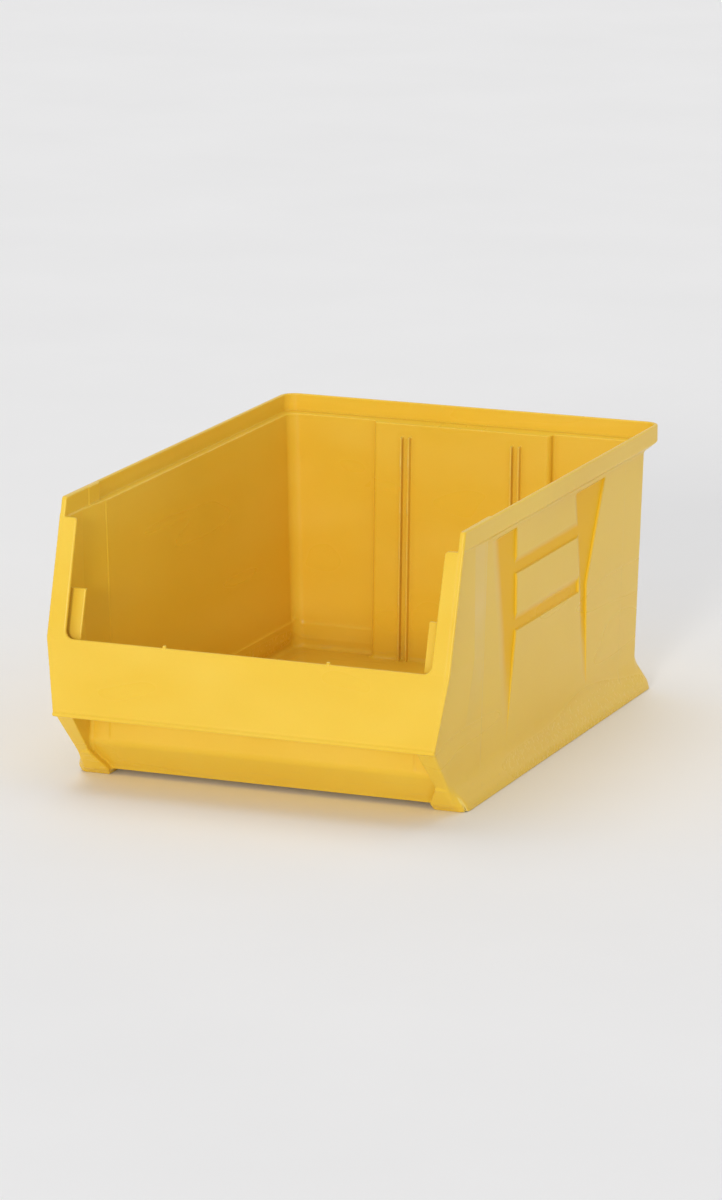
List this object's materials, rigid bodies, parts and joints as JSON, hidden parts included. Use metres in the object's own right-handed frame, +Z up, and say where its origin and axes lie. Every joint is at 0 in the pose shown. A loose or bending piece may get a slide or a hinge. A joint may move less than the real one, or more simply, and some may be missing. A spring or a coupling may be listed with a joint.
{
  "type": "stackable storage bin",
  "caption": "Open-topped plastic storage bin with a low hopper front, flanges beside the mouth, a stacking rim and flared feet that nest in the rim of the bin below.",
  "frame": {"origin": "centre of the bin's footprint, on the ground plane under its feet", "axes": "+Z up; the open hopper front faces -Y; +X is to the right as seen by someone facing the front"},
  "size_m": [0.419, 0.606, 0.279],
  "materials": {
    "moulding": "semi-gloss moulded"
  },
  "bodies": {
    "root": {"floor_panel": "moulding", "left_side_wall": "moulding", "right_side_wall": "moulding", "left_mouth_cheek": "moulding", "right_mouth_cheek": "moulding", "back_wall_left": "moulding", "back_wall_right": "moulding", "back_wall_sill": "moulding", "back_wall_panel": "moulding", "lower_front_wall": "moulding", "left_front_buttress": "moulding", "right_front_buttress": "moulding", "front_band": "moulding", "lip_shelf": "moulding", "left_front_flange": "moulding", "right_front_flange": "moulding", "left_stacking_ledge": "moulding", "right_stacking_ledge": "moulding", "back_stacking_ledge": "moulding", "left_rim": "moulding", "right_rim": "moulding", "back_rim": "moulding", "left_foot_skirt": "moulding", "right_foot_skirt": "moulding", "back_foot_skirt": "moulding", "left_front_foot": "moulding", "right_front_foot": "moulding", "left_foot_runner": "moulding", "right_foot_runner": "moulding", "left_window_guide": "moulding", "right_window_guide": "moulding", "rear_divider_ribs": "moulding", "front_divider_ribs": "moulding", "lip_locating_nubs": "moulding"}
  },
  "joints": []
}
